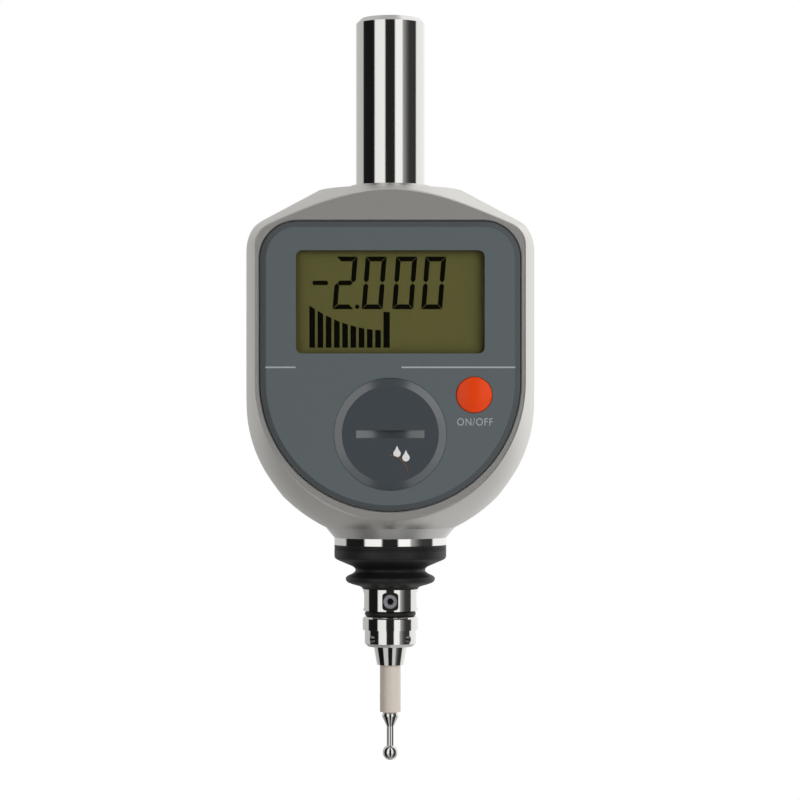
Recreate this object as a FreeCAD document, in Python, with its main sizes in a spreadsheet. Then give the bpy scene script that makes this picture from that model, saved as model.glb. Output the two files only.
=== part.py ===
import FreeCAD, Part

import math
import os
import re

import Sketcher
from FreeCAD import Placement, Rotation, Vector

# Digital edge finder: a three-axis touch probe that hangs from a machine spindle by its round shank.
# The shank's axis is Z. z = 0 is the shoulder where the shank meets the housing, so the shank stands
# up from the origin and everything else hangs below it. The display faces -Y.
#
# "drop" values are measured down from the shoulder, "depth" values forward from the axis plane
# towards -Y. All sizes are in millimetres.

SIZES = [
    # shank
    ("shank_radius", 10.0), ("shank_height", 49.0), ("shank_chamfer", 1.5),
    ("spigot_radius", 8.0), ("spigot_drop", 14.0),
    # screw that pulls the shank into the housing from below (M5 socket head)
    ("bolt_radius", 2.5), ("bolt_head_radius", 4.25), ("bolt_head_height", 5.0),
    ("bolt_reach", 12.0), ("bolt_web", 3.0), ("bolt_socket", 4.0), ("bolt_socket_deep", 2.5),
    ("bolt_gap", 0.25),
    # housing: turned outside
    ("foot_radius", 11.5), ("foot_step", 0.7), ("foot_slope", 1.2), ("shoulder_radius", 21.3),
    ("shoulder_drop", 1.65), ("cone_angle", 28.5),
    ("rim_fillet", 7.0), ("body_radius", 45.0), ("belly_drop", 57.9), ("belly_radius", 47.0),
    ("housing_drop", 100.0), ("overcut", 1.0), ("blank_radius", 60.0), ("blank_top", 20.0),
    ("blank_low", 110.0),
    # housing: milled outline and the two flats
    ("side_half", 41.3), ("corner_fillet", 13.5), ("chin_start", 76.4), ("chin_fillet", 37.7),
    ("chin_angle", 34.4), ("flat_depth", 23.3), ("edge_break", 0.3),
    # front plate and the pocket behind it
    ("recess_half", 37.3), ("recess_top", 11.9), ("recess_corner", 10.7), ("recess_low", 57.6),
    ("panel_gap", 0.25), ("panel_front", 23.9), ("panel_back", 21.1), ("seal_back", 20.3),
    ("bevel_wide", 1.6), ("bevel_deep", 0.75), ("ledge", 3.2), ("pocket_floor", 16.0),
    ("collar_root", 0.5), ("collar_gap", 0.4),
    # display
    ("view_half", 26.9), ("view_top", 20.4), ("view_low", 49.8), ("view_corner", 1.8),
    ("pane_lip", 0.7), ("pane_lap", 1.6), ("pane_thick", 1.1), ("pane_gap", 0.1),
    ("glass_thick", 1.6), ("glass_half", 28.0), ("glass_margin", 0.6), ("strip_tall", 2.0),
    ("strip_half", 26.5), ("strip_gap", 0.5),
    # circuit board
    ("board_front", 18.6), ("board_thick", 1.6), ("board_gap", 0.5), ("post_radius", 2.5),
    ("screw_radius", 0.9), ("screw_head_radius", 1.9), ("screw_head_height", 1.2), ("screw_reach", 4.5),
    ("screw_gap", 0.15), ("driver_half", 1.2), ("driver_wide", 0.5), ("driver_deep", 0.6),
    ("screw_high_x", 30.5), ("screw_high_drop", 21.2), ("screw_low_x", 20.0), ("screw_low_drop", 80.0),
    ("chip_side", 9.0), ("chip_thick", 1.3), ("chip_x", -24.0), ("chip_drop", 64.0),
    ("dot_radius", 0.5), ("dot_inset", 1.2), ("dot_deep", 0.2), ("crystal_radius", 1.6),
    ("crystal_tall", 1.9), ("crystal_x", -22.5), ("crystal_drop", 73.0), ("chip_row_x", -28.2),
    ("chip_row_drop", 58.1), ("chip_row_pitch", 2.3), ("resistor_wide", 1.2), ("resistor_long", 2.1),
    ("resistor_tall", 0.9),
    # battery bay
    ("cover_drop", 72.8), ("cover_radius", 16.0), ("cover_face_radius", 13.8), ("cover_front", 24.7),
    ("cover_flange_back", 23.2), ("cover_seat", 22.2), ("cover_gap", 0.1), ("thread_radius", 14.5),
    ("thread_gap", 0.05), ("skirt_back", 19.6), ("skirt_inner", 12.9), ("cover_floor", 21.0),
    ("slot_long", 19.4), ("slot_wide", 2.2), ("slot_deep", 1.5), ("ring_section", 0.48),
    ("collar_radius", 16.3), ("collar_back", 19.4), ("well_radius", 14.6), ("well_floor", 14.8),
    ("holder_radius", 14.4), ("holder_bore", 12.45), ("holder_front", 19.3), ("holder_floor", 15.3),
    ("cell_radius", 12.25), ("cell_back", 15.7), ("cell_thick", 5.0), ("cell_cap_radius", 11.2),
    ("cell_step", 0.4), ("cell_edge", 0.5), ("contact_inner", 3.0), ("contact_outer", 8.5),
    ("contact_thick", 0.25),
    # power button
    ("button_x", 23.9), ("button_drop", 61.6), ("button_radius", 5.15), ("button_gap", 0.1),
    ("button_front", 25.0), ("button_dome", 1.1), ("button_flange", 6.2), ("button_flange_back", 20.4),
    ("button_stem_back", 20.15), ("button_stem_radius", 1.4), ("button_edge", 0.5),
    ("dome_top", 19.45), ("dome_radius", 3.2), ("dome_rim", 0.25),
    # measuring rod, its bush, scale and spring
    ("rod_radius", 3.0), ("rod_top", 28.5), ("rod_flange_radius", 6.2), ("rod_flange_drop", 66.0),
    ("rod_flange_thick", 2.0), ("tip_gap", 0.1), ("scale_flat", 2.2), ("scale_thick", 1.0),
    ("scale_wide", 3.6), ("scale_top", 29.5), ("scale_low", 41.5), ("upper_bore", 5.5),
    ("bush_bore_radius", 7.0), ("bush_top", 43.0), ("bush_low", 49.0), ("running_gap", 0.05),
    ("washer_thick", 0.5), ("washer_hole", 3.4), ("washer_radius", 6.6),
    ("coil_radius", 5.0), ("wire_radius", 0.45), ("coil_halves", 12.0), ("spring_play", 0.05),
    ("reader_half", 3.5), ("reader_front", 3.7), ("reader_back", 9.0), ("reader_top", 31.5),
    ("reader_low", 38.5), ("slit_half", 4.0), ("slit_margin", 1.0), ("slit_front", 3.0),
    # guide bush, carriage and gimbal
    ("chamber_radius", 13.5), ("chamber_top", 69.0), ("guide_inner", 11.0), ("carriage_inner", 9.2),
    ("carriage_top", 76.0), ("stop_drop", 96.0), ("pivot_drop", 86.0), ("pin_radius", 1.0),
    ("pin_x_inner", 6.8), ("pin_x_outer", 10.6), ("pin_y_inner", 3.6), ("pin_y_outer", 8.4),
    ("pin_end_play", 0.4),
    ("gimbal_outer", 8.6), ("gimbal_inner", 6.4), ("gimbal_half", 2.25),
    # probe arm
    ("arm_top", 80.5), ("arm_stem_radius", 2.5), ("hub_radius", 5.6), ("hub_half", 2.0),
    ("arm_radius", 4.5), ("arm_spigot_radius", 3.0), ("arm_spigot_drop", 120.0),
    # retaining ring and bellows
    ("ring_top_radius", 18.9), ("ring_radius", 16.4), ("ring_cone_drop", 103.0),
    ("ring_drop", 105.1), ("ring_bore", 9.6), ("ring_neck", 14.9), ("ring_neck_drop", 107.9),
    ("groove_top", 97.4), ("groove_low", 98.8), ("groove_radius", 12.3), ("seal_section", 0.58),
    ("seal_play", 0.02), ("sleeve_drop", 109.3), ("sleeve_fillet", 1.2), ("slope_radius", 11.5),
    ("slope_drop", 111.9), ("waist_radius", 10.3), ("waist_drop", 112.7), ("waist_fillet", 0.5),
    ("crest_radius", 13.1), ("crest_drop", 114.9), ("crest_fillet", 1.0), ("lip_radius", 8.1),
    ("lip_drop", 118.0), ("throat_radius", 4.8), ("rubber_wall", 0.9),
    # probe head, set screws and seal
    ("head_radius", 8.0), ("head_top", 118.1), ("head_drop", 124.4), ("head_bore", 4.8),
    ("head_web_drop", 120.4), ("window_wide", 4.7), ("window_top", 118.9), ("window_low", 124.0),
    ("window_floor", 7.0), ("window_corner", 1.0), ("grub_drop", 121.5), ("grub_radius", 2.0),
    ("grub_inner", 4.0), ("grub_outer", 6.9), ("grub_socket", 2.0), ("grub_socket_deep", 1.4),
    ("head_ring_mean", 6.6), ("head_ring_section", 0.88),
    # clamp ring, nut, stylus
    ("clamp_neck", 5.6), ("clamp_top", 126.2), ("clamp_drop", 130.0), ("clamp_radius", 8.1),
    ("clamp_chamfer", 0.5), ("stylus_bore", 4.05), ("nut_radius", 7.5), ("nut_chamfer", 0.9),
    ("nut_drop", 134.9), ("nut_hole_radius", 1.1), ("nut_hole_drop", 132.6), ("nut_hole_floor", 5.2),
    ("holder_shank", 4.0), ("holder_top", 120.6), ("holder_wide", 4.85), ("holder_narrow", 3.9),
    ("holder_drop", 140.3), ("stub_radius", 1.6), ("stub_top", 133.2), ("shaft_radius", 3.05),
    ("shaft_drop", 154.1), ("stem_hole", 1.0), ("stem_hole_top", 150.0), ("tip_collar", 2.1),
    ("tip_wide", 2.5), ("tip_wide_drop", 155.3), ("tip_cone_drop", 158.3), ("stem_radius", 1.08),
    ("ball_radius", 2.25), ("ball_drop", 166.0), ("ball_hole", 0.7), ("ball_hole_top", 165.5),
    ("end_gap", 0.2),
]

doc = FreeCAD.newDocument("edge_finder")
sheet = doc.addObject("Spreadsheet::Sheet", "Size")
for row, (alias, number) in enumerate(SIZES, start=1):
    sheet.set(f"A{row}", alias.replace("_", " "))
    sheet.set(f"B{row}", str(number))
    sheet.setAlias(f"B{row}", alias)
doc.recompute()
ALIASES = {alias for alias, number in SIZES}
GROUPS = {}


def bound(text):
    """Write a formula of size names the way the document's expressions want it."""
    return re.sub(r"[a-z_]+", lambda word: ("Size." if word[0] in ALIASES else "") + word[0], text)


def value(text):
    return float(sheet.evalExpression(bound(text)))


def spot(u, v):
    return Vector(value(u), value(v), 0)


# ---- sketches ----------------------------------------------------------------------------------

def new_body(label):
    body = doc.addObject("PartDesign::Body", label)
    body.Label = label
    GROUPS[label] = body
    return body


def datum(body, role):
    return next(feature for feature in body.Origin.OriginFeatures if feature.Role == role)


def new_sketch(body, plane="XZ_Plane", lift="0"):
    """A sketch on one of the body's own planes, moved along the plane's normal by lift."""
    sketch = body.newObject("Sketcher::SketchObject", body.Label + "_sketch")
    sketch.AttachmentSupport = [(datum(body, plane), "")]
    sketch.MapMode = "FlatFace"
    if lift != "0":
        sketch.setExpression("AttachmentOffset.Base.z", bound(lift))
    return sketch


def rule(sketch, kind, target, text):
    """Add a dimension to a sketch and tie it to the sheet."""
    index = sketch.addConstraint(Sketcher.Constraint(kind, *target, value(text)))
    sketch.setExpression(f"Constraints[{index}]", bound(text))


def place(sketch, edge, end, u, v):
    """Hold one point of an edge at u across and v up from the sketch's origin."""
    for kind, text, axis in (("DistanceX", u, -2), ("DistanceY", v, -1)):
        if text == "0":
            sketch.addConstraint(Sketcher.Constraint("PointOnObject", edge, end, axis))
        else:
            rule(sketch, kind, (-1, 1, edge, end), text)


def arc_between(start, end, radius, turn):
    """The short arc from start to end; turn is 1 for anticlockwise and -1 for clockwise."""
    chord = end - start
    rise = math.sqrt(max(radius ** 2 - chord.Length ** 2 / 4, 0))
    centre = (start + end) / 2 + Vector(-chord.y, chord.x, 0) / chord.Length * rise * turn
    first, last = (start, end) if turn > 0 else (end, start)
    angles = [math.atan2(point.y - centre.y, point.x - centre.x) for point in (first, last)]
    return Part.ArcOfCircle(Part.Circle(centre, Vector(0, 0, 1), radius), *angles)


def draw(sketch, corners):
    """Close an outline through corners (u, v), or (u, v, radius, turn) where an arc leads on."""
    points = [spot(corner[0], corner[1]) for corner in corners]
    ends = []
    for index, corner in enumerate(corners):
        start, end = points[index], points[(index + 1) % len(points)]
        if len(corner) == 4:
            sketch.addGeometry(arc_between(start, end, value(corner[2]), corner[3]))
            ends.append((1, 2) if corner[3] > 0 else (2, 1))
        else:
            sketch.addGeometry(Part.LineSegment(start, end))
            ends.append((1, 2))
    for index, corner in enumerate(corners):
        following = (index + 1) % len(corners)
        sketch.addConstraint(
            Sketcher.Constraint("Coincident", index, ends[index][1], following, ends[following][0]))
        place(sketch, index, ends[index][0], corner[0], corner[1])
        if len(corner) == 4:
            rule(sketch, "Radius", (index,), corner[2])
    return sketch


def circles(sketch, radius, centres):
    for index, (u, v) in enumerate(centres):
        sketch.addGeometry(Part.Circle(spot(u, v), Vector(0, 0, 1), value(radius)))
        rule(sketch, "Radius", (index,), radius)
        place(sketch, index, 3, u, v)
    return sketch


def box(sketch, left, right, low, high):
    return draw(sketch, [(left, low), (right, low), (right, high), (left, high)])


def rounded_box(sketch, half, high, low, corner):
    """A rectangle about the vertical axis, from high down to low, with round corners."""
    inner, top, foot = f"{half} - {corner}", f"{high} - {corner}", f"{low} + {corner}"
    return draw(sketch, [
        (f"-({inner})", low), (inner, low, corner, 1), (half, foot), (half, top, corner, 1),
        (inner, high), (f"-({inner})", high, corner, 1), (f"-({half})", top),
        (f"-({half})", foot, corner, 1)])


def shield(sketch, inset):
    """The front plate's outline, moved inwards: flat top, round corners and a half-round foot."""
    half, top = f"recess_half - ({inset})", f"-recess_top - ({inset})"
    corner = f"recess_corner - ({inset})"
    inner = "recess_half - recess_corner"
    turn = "-recess_top - recess_corner"
    return draw(sketch, [
        (inner, top), (f"-({inner})", top, corner, 1), (f"-({half})", turn),
        (f"-({half})", "-recess_low", half, 1), ("0", f"-recess_low - ({half})", half, 1),
        (half, "-recess_low"), (half, turn, corner, 1)])


# ---- features ----------------------------------------------------------------------------------

def pad(body, sketch, length, back=False, both=False):
    return swell(body, "PartDesign::Pad", sketch, length, back, both)


def pocket(body, sketch, length, back=False, both=False):
    before = body.Shape.Volume
    feature = swell(body, "PartDesign::Pocket", sketch, length, back, both)
    doc.recompute()
    if body.Shape.Volume > before - 1e-6:
        raise RuntimeError(f"a pocket of {body.Label} cuts nothing")
    return feature


def swell(body, kind, sketch, length, back, both):
    feature = body.newObject(kind, body.Label + "_" + kind.split("::")[1].lower())
    feature.Profile = sketch
    feature.Reversed = back
    if both:
        feature.SideType = "Symmetric"
    feature.setExpression("Length", bound(length))
    doc.recompute()
    return feature


def spin(body, kind, sketch):
    """Turn a profile about its sketch's vertical axis, as metal or as a cut."""
    feature = body.newObject(kind, body.Label + "_turned")
    feature.Profile = sketch
    feature.ReferenceAxis = (sketch, ["V_Axis"])
    feature.Angle = 360
    doc.recompute()
    return feature


def turned(label, corners):
    """A turned piece about Z from its half profile (radius, height)."""
    body = new_body(label)
    spin(body, "PartDesign::Revolution", draw(new_sketch(body), corners))
    return body


def seal_ring(label, mean, section, height):
    body = new_body(label)
    spin(body, "PartDesign::Revolution", circles(new_sketch(body), section, [(mean, height)]))
    return body


def tube(label, inner, outer, top, low):
    return turned(label, [(inner, low), (outer, low), (outer, top), (inner, top)])


def edges_where(shape, test):
    return [f"Edge{number}" for number, edge in enumerate(shape.Edges, start=1)
            if not edge.Degenerated and test(edge)]


def rim(height, radius):
    """Pick the full circles about Z at a height and radius."""
    def test(edge):
        curve = edge.Curve
        return (isinstance(curve, Part.Circle) and abs(curve.Center.z - value(height)) < 0.01
                and abs(curve.Radius - value(radius)) < 0.01)
    return test


def dress(body, kind, test, amount, second=None):
    """Round or bevel the edges of a body that pass a test."""
    base = body.Tip
    names = edges_where(base.Shape, test)
    if not names:
        raise RuntimeError(f"no edge of {body.Label} to work on")
    feature = body.newObject(kind, body.Label + "_" + kind.split("::")[1].lower())
    feature.Base = (base, names)
    if kind.endswith("Fillet"):
        feature.setExpression("Radius", bound(amount))
    else:
        feature.setExpression("Size", bound(amount))
    if second:
        feature.ChamferType = "Two distances"
        feature.setExpression("Size2", bound(second))
    doc.recompute()
    return feature


def around(body, originals, count):
    """Repeat features evenly about the body's Z axis."""
    pattern = body.newObject("PartDesign::PolarPattern", body.Label + "_pattern")
    pattern.Originals = originals
    pattern.Axis = (datum(body, "Z_Axis"), [""])
    pattern.Angle = 360
    pattern.Occurrences = count
    body.Tip = pattern
    doc.recompute()


def mirrored(body, originals, plane):
    mirror = body.newObject("PartDesign::Mirrored", body.Label + "_mirror")
    mirror.Originals = originals
    mirror.MirrorPlane = (datum(body, plane), [""])
    body.Tip = mirror
    doc.recompute()


def face_front(body, x, drop):
    """Turn a piece whose own axis is Z so that it looks out of the front at x and drop."""
    body.Placement = Placement(Vector(value(x), 0, -value(drop)), Rotation(Vector(1, 0, 0), 90))
    body.setExpression("Placement.Base.x", bound(x))
    body.setExpression("Placement.Base.z", bound("-" + drop))


def hexagon(sketch, across, height="0"):
    """A hexagon socket's outline, points left and right, by its width across the flats."""
    point, half, flat = f"{across} / 3 * sqrt(3)", f"{across} / 6 * sqrt(3)", f"{across} / 2"
    return draw(sketch, [
        (point, height), (half, f"{height} + {flat}"), (f"-({half})", f"{height} + {flat}"),
        (f"-({point})", height), (f"-({half})", f"{height} - {flat}"), (half, f"{height} - {flat}")])


# ---- housing -----------------------------------------------------------------------------------

BOARD_SCREWS = [(sign + x, "-" + drop)
                for x, drop in (("screw_high_x", "screw_high_drop"), ("screw_low_x", "screw_low_drop"))
                for sign in ("", "-")]
BATTERY = ("0", "-cover_drop")
BUTTON = ("button_x", "-button_drop")


def make_housing():
    body = new_body("housing")
    # Milled outline: two straight sides, the cone's slope above and the chin's slope below.
    slope = "tan(cone_angle * 1deg)"
    chin = "tan(chin_angle * 1deg)"
    peak = f"-shoulder_drop + shoulder_radius * {slope}"
    corner = f"-shoulder_drop - (side_half - shoulder_radius) * {slope}"
    chin_foot = f"side_half - (housing_drop + overcut - chin_start) * {chin}"
    outline = draw(new_sketch(body), [
        ("0", peak), ("-side_half", corner), ("-side_half", "-chin_start"),
        (f"-({chin_foot})", "-housing_drop - overcut"), (chin_foot, "-housing_drop - overcut"),
        ("side_half", "-chin_start"), ("side_half", corner)])
    pad(body, outline, "2 * flat_depth", both=True)

    def corner_at(height):
        def test(edge):
            ends = [vertex.Point for vertex in edge.Vertexes]
            return len(ends) == 2 and all(
                abs(abs(end.x) - value("side_half")) < 0.01 and abs(end.z - value(height)) < 0.01
                for end in ends)
        return test
    dress(body, "PartDesign::Fillet", corner_at(corner), "corner_fillet")
    dress(body, "PartDesign::Fillet", corner_at("-chin_start"), "chin_fillet")

    # Turned outside: everything beyond the lathe profile goes.
    reach = "rim_fillet * tan(45deg - cone_angle * 0.5deg)"
    sharp = f"-shoulder_drop - (body_radius - shoulder_radius) * {slope}"
    spin(body, "PartDesign::Groove", draw(new_sketch(body), [
        ("0", "0"), ("foot_radius", "0"), ("foot_radius + foot_slope", "-foot_step"),
        ("shoulder_radius", "-shoulder_drop"),
        (f"body_radius - {reach} * cos(cone_angle * 1deg)",
         f"{sharp} + {reach} * sin(cone_angle * 1deg)", "rim_fillet", -1),
        ("body_radius", f"{sharp} - {reach}"), ("body_radius", "-belly_drop", "belly_radius", -1),
        ("ring_top_radius", "-housing_drop"), ("0", "-housing_drop"), ("0", "-blank_low"),
        ("blank_radius", "-blank_low"), ("blank_radius", "blank_top"), ("0", "blank_top")]))

    # Front: recess for the plate, pocket for the electronics, well for the battery.
    pocket(body, shield(new_sketch(body, lift="flat_depth"), "0"), "flat_depth - seal_back")
    pocket(body, shield(new_sketch(body, lift="seal_back"), "ledge"), "seal_back - pocket_floor")
    pocket(body, circles(new_sketch(body, lift="pocket_floor"), "well_radius", [BATTERY]),
           "pocket_floor - well_floor")
    board_back = "board_front - board_thick"
    pad(body, circles(new_sketch(body, lift="pocket_floor"), "post_radius", BOARD_SCREWS),
        f"{board_back} - pocket_floor")
    pocket(body, circles(new_sketch(body, lift=board_back), "screw_radius", BOARD_SCREWS),
           "screw_reach")

    # Stepped bore down the axis, opened to the front where the scale is read.
    spin(body, "PartDesign::Groove", draw(new_sketch(body), [
        ("0", "overcut"), ("spigot_radius", "overcut"), ("spigot_radius", "-spigot_drop"),
        ("bolt_radius + bolt_gap", "-spigot_drop"),
        ("bolt_radius + bolt_gap", "-spigot_drop - bolt_web"),
        ("upper_bore", "-spigot_drop - bolt_web"), ("upper_bore", "-bush_top"),
        ("bush_bore_radius", "-bush_top"), ("bush_bore_radius", "-chamber_top"),
        ("chamber_radius", "-chamber_top"), ("chamber_radius", "-housing_drop - overcut"),
        ("0", "-housing_drop - overcut")]))
    pocket(body, box(new_sketch(body, lift="pocket_floor"), "-slit_half", "slit_half",
                     "-reader_low - slit_margin", "-reader_top + slit_margin"),
           "pocket_floor - slit_front")

    # A fine break along the edge of each flat.
    def flat_rim(edge):
        bounds = edge.BoundBox
        on_flat = abs(abs(bounds.Center.y) - value("flat_depth")) < 0.01 and bounds.YLength < 0.01
        return on_flat and all(
            math.hypot(vertex.X, vertex.Z + value("recess_low")) > value("recess_half") + 0.5
            for vertex in edge.Vertexes)
    dress(body, "PartDesign::Chamfer", flat_rim, "edge_break")


def make_shank():
    body = turned("shank", [
        ("0", "-spigot_drop"), ("spigot_radius", "-spigot_drop"), ("spigot_radius", "0"),
        ("shank_radius", "0"), ("shank_radius", "shank_height"), ("0", "shank_height")])
    dress(body, "PartDesign::Chamfer", rim("shank_height", "shank_radius"), "shank_chamfer")
    pocket(body, circles(new_sketch(body, "XY_Plane", "-spigot_drop"), "bolt_radius", [("0", "0")]),
           "bolt_reach", back=True)


def make_shank_screw():
    head_top = "-spigot_drop - bolt_web"
    body = turned("shank_screw", [
        ("0", f"{head_top} - bolt_head_height"), ("bolt_head_radius", f"{head_top} - bolt_head_height"),
        ("bolt_head_radius", head_top), ("bolt_radius", head_top),
        ("bolt_radius", "-spigot_drop + bolt_reach - overcut"),
        ("0", "-spigot_drop + bolt_reach - overcut")])
    pocket(body, hexagon(new_sketch(body, "XY_Plane", f"{head_top} - bolt_head_height"),
                         "bolt_socket"), "bolt_socket_deep", back=True)


def make_retaining_ring():
    turned("retaining_ring", [
        ("ring_bore", "-stop_drop"), ("chamber_radius", "-stop_drop"),
        ("chamber_radius", "-groove_top"), ("groove_radius", "-groove_top"),
        ("groove_radius", "-groove_low"), ("chamber_radius", "-groove_low"),
        ("chamber_radius", "-housing_drop"), ("ring_top_radius", "-housing_drop"),
        ("ring_radius", "-ring_cone_drop"), ("ring_radius", "-ring_drop"), ("ring_neck", "-ring_drop"),
        ("ring_neck", "-ring_neck_drop"), ("ring_bore", "-ring_neck_drop")])
    seal_ring("ring_o_ring", "chamber_radius - seal_section - seal_play", "seal_section",
              "-(groove_top + groove_low) / 2")


def make_bellows():
    """Collar over the ring's neck, one deep fold and one bulge, and a lip on the probe head."""
    body = turned("bellows", [
        ("ring_neck", "-ring_drop"), ("ring_radius", "-ring_drop"), ("ring_radius", "-sleeve_drop"),
        ("slope_radius", "-slope_drop"), ("waist_radius", "-waist_drop"),
        ("crest_radius", "-crest_drop"), ("lip_radius", "-lip_drop"),
        ("throat_radius", "-lip_drop"), ("throat_radius", "-lip_drop + rubber_wall"),
        ("lip_radius", "-lip_drop + 1.3 * rubber_wall"),
        ("crest_radius - 1.4 * rubber_wall", "-crest_drop"),
        ("waist_radius - 1.2 * rubber_wall", "-waist_drop"),
        ("slope_radius - rubber_wall", "-slope_drop + rubber_wall"),
        ("ring_neck", "-ring_neck_drop - rubber_wall / 2")])
    for drop, radius, fillet in (("sleeve_drop", "ring_radius", "sleeve_fillet"),
                                 ("waist_drop", "waist_radius", "waist_fillet"),
                                 ("crest_drop", "crest_radius", "crest_fillet")):
        dress(body, "PartDesign::Fillet", rim(f"-{drop}", radius), fillet)


# ---- front plate and display ------------------------------------------------------------------

def make_front_panel():
    body = new_body("front_panel")
    pad(body, shield(new_sketch(body, lift="panel_back"), "panel_gap"), "panel_front - panel_back")

    def front_edge(edge):
        return edge.BoundBox.YMax < -value("panel_front") + 0.01
    dress(body, "PartDesign::Chamfer", front_edge, "bevel_deep", "bevel_wide")
    pad(body, circles(new_sketch(body, lift="collar_back"), "collar_radius", [BATTERY]),
        "panel_back - collar_back + collar_root")
    pocket(body, circles(new_sketch(body, lift="panel_front"), "thread_radius + thread_gap", [BATTERY]),
           "panel_front - collar_back")
    pocket(body, circles(new_sketch(body, lift="panel_front"), "cover_radius + cover_gap", [BATTERY]),
           "panel_front - cover_seat")
    pocket(body, circles(new_sketch(body, lift="panel_front"), "button_radius + button_gap", [BUTTON]),
           "panel_front - panel_back")
    pocket(body, rounded_box(new_sketch(body, lift="panel_front"), "view_half", "-view_top", "-view_low",
                             "view_corner"), "panel_front - panel_back")
    pocket(body, rounded_box(new_sketch(body, lift="panel_back"), "view_half + pane_lap",
                             "-view_top + pane_lap", "-view_low - pane_lap", "view_corner"),
           "panel_front - pane_lip - panel_back", back=True)


def make_panel_seal():
    body = new_body("panel_seal")
    pad(body, shield(new_sketch(body, lift="seal_back"), "panel_gap"), "panel_back - seal_back")
    pocket(body, shield(new_sketch(body, lift="panel_back"), "ledge"), "panel_back - seal_back")


def make_display():
    pane = new_body("display_window")
    pad(pane, rounded_box(new_sketch(pane, lift="panel_front - pane_lip - pane_thick"),
                          "view_half + pane_lap - pane_gap", "-view_top + pane_lap - pane_gap",
                          "-view_low - pane_lap + pane_gap", "view_corner"), "pane_thick")

    glass_front = "panel_front - pane_lip - pane_thick - pane_gap"
    glass_back = f"{glass_front} - glass_thick"
    glass_top, glass_low = "-view_top + glass_margin", "-view_low - glass_margin"
    glass = new_body("lcd_glass")
    pad(glass, box(new_sketch(glass, lift=glass_back), "-glass_half", "glass_half", glass_low,
                   glass_top), "glass_thick")

    reflector = new_body("lcd_reflector")
    pad(reflector, box(new_sketch(reflector, lift="board_front"), "-glass_half", "glass_half",
                       f"{glass_low} + strip_tall + strip_gap",
                       f"{glass_top} - strip_tall - strip_gap"),
        f"{glass_back} - board_front")

    strips = new_body("lcd_contact_strips")
    for low, high in ((f"{glass_low} + end_gap", f"{glass_low} + strip_tall"),
                      (f"{glass_top} - strip_tall", f"{glass_top} - end_gap")):
        pad(strips, box(new_sketch(strips, lift="board_front"), "-strip_half", "strip_half", low, high),
            f"{glass_back} - board_front")


def make_circuit_board():
    body = new_body("circuit_board")
    pad(body, shield(new_sketch(body, lift="board_front - board_thick"), "ledge + board_gap"),
        "board_thick")
    pocket(body, circles(new_sketch(body, lift="board_front"), "collar_radius + collar_gap", [BATTERY]),
           "board_thick")
    pocket(body, circles(new_sketch(body, lift="board_front"), "screw_radius + screw_gap", BOARD_SCREWS),
           "board_thick")

    chip = new_body("controller_chip")
    half = "chip_side / 2"
    pad(chip, box(new_sketch(chip, lift="board_front"), f"chip_x - {half}", f"chip_x + {half}",
                  f"-chip_drop - {half}", f"-chip_drop + {half}"), "chip_thick")
    pocket(chip, circles(new_sketch(chip, lift="board_front + chip_thick"), "dot_radius",
                         [(f"chip_x - {half} + dot_inset", f"-chip_drop + {half} - dot_inset")]),
           "dot_deep")

    small = new_body("board_components")
    pad(small, circles(new_sketch(small, lift="board_front"), "crystal_radius",
                       [("crystal_x", "-crystal_drop")]), "crystal_tall")
    for index in range(4):
        left = f"chip_row_x + {index} * chip_row_pitch"
        pad(small, box(new_sketch(small, lift="board_front"), left, f"{left} + resistor_wide",
                       "-chip_row_drop", "-chip_row_drop + resistor_long"), "resistor_tall")


def make_board_screws():
    body = new_body("board_screws")
    board_back = "board_front - board_thick"
    pad(body, circles(new_sketch(body, lift=f"{board_back} - screw_reach + end_gap"), "screw_radius",
                      BOARD_SCREWS), "board_thick + screw_reach - end_gap")
    pad(body, circles(new_sketch(body, lift="board_front"), "screw_head_radius", BOARD_SCREWS),
        "screw_head_height")
    for u, v in BOARD_SCREWS:
        pocket(body, box(new_sketch(body, lift="board_front + screw_head_height"), f"{u} - driver_half",
                         f"{u} + driver_half", f"{v} - driver_wide / 2", f"{v} + driver_wide / 2"),
               "driver_deep")


def make_button():
    dome = "((button_radius ^ 2 + button_dome ^ 2) / (2 * button_dome))"
    body = turned("power_button", [
        ("0", "button_stem_back"), ("button_stem_radius", "button_stem_back"),
        ("button_stem_radius", "button_flange_back"),
        ("button_flange", "button_flange_back"), ("button_flange", "panel_back - running_gap"),
        ("button_radius", "panel_back - running_gap"),
        ("button_radius", "button_front - button_dome", dome, 1), ("0", "button_front")])
    dress(body, "PartDesign::Fillet", rim("button_front - button_dome", "button_radius"),
          "button_edge")
    face_front(body, "button_x", "button_drop")

    sag = "(dome_top - board_front - dome_rim)"
    curve = f"((dome_radius ^ 2 + {sag} ^ 2) / (2 * {sag}))"
    switch = turned("dome_switch", [
        ("0", "board_front"), ("dome_radius", "board_front"),
        ("dome_radius", "board_front + dome_rim", curve, 1), ("0", "dome_top")])
    face_front(switch, "button_x", "button_drop")


# ---- battery bay -------------------------------------------------------------------------------

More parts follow.
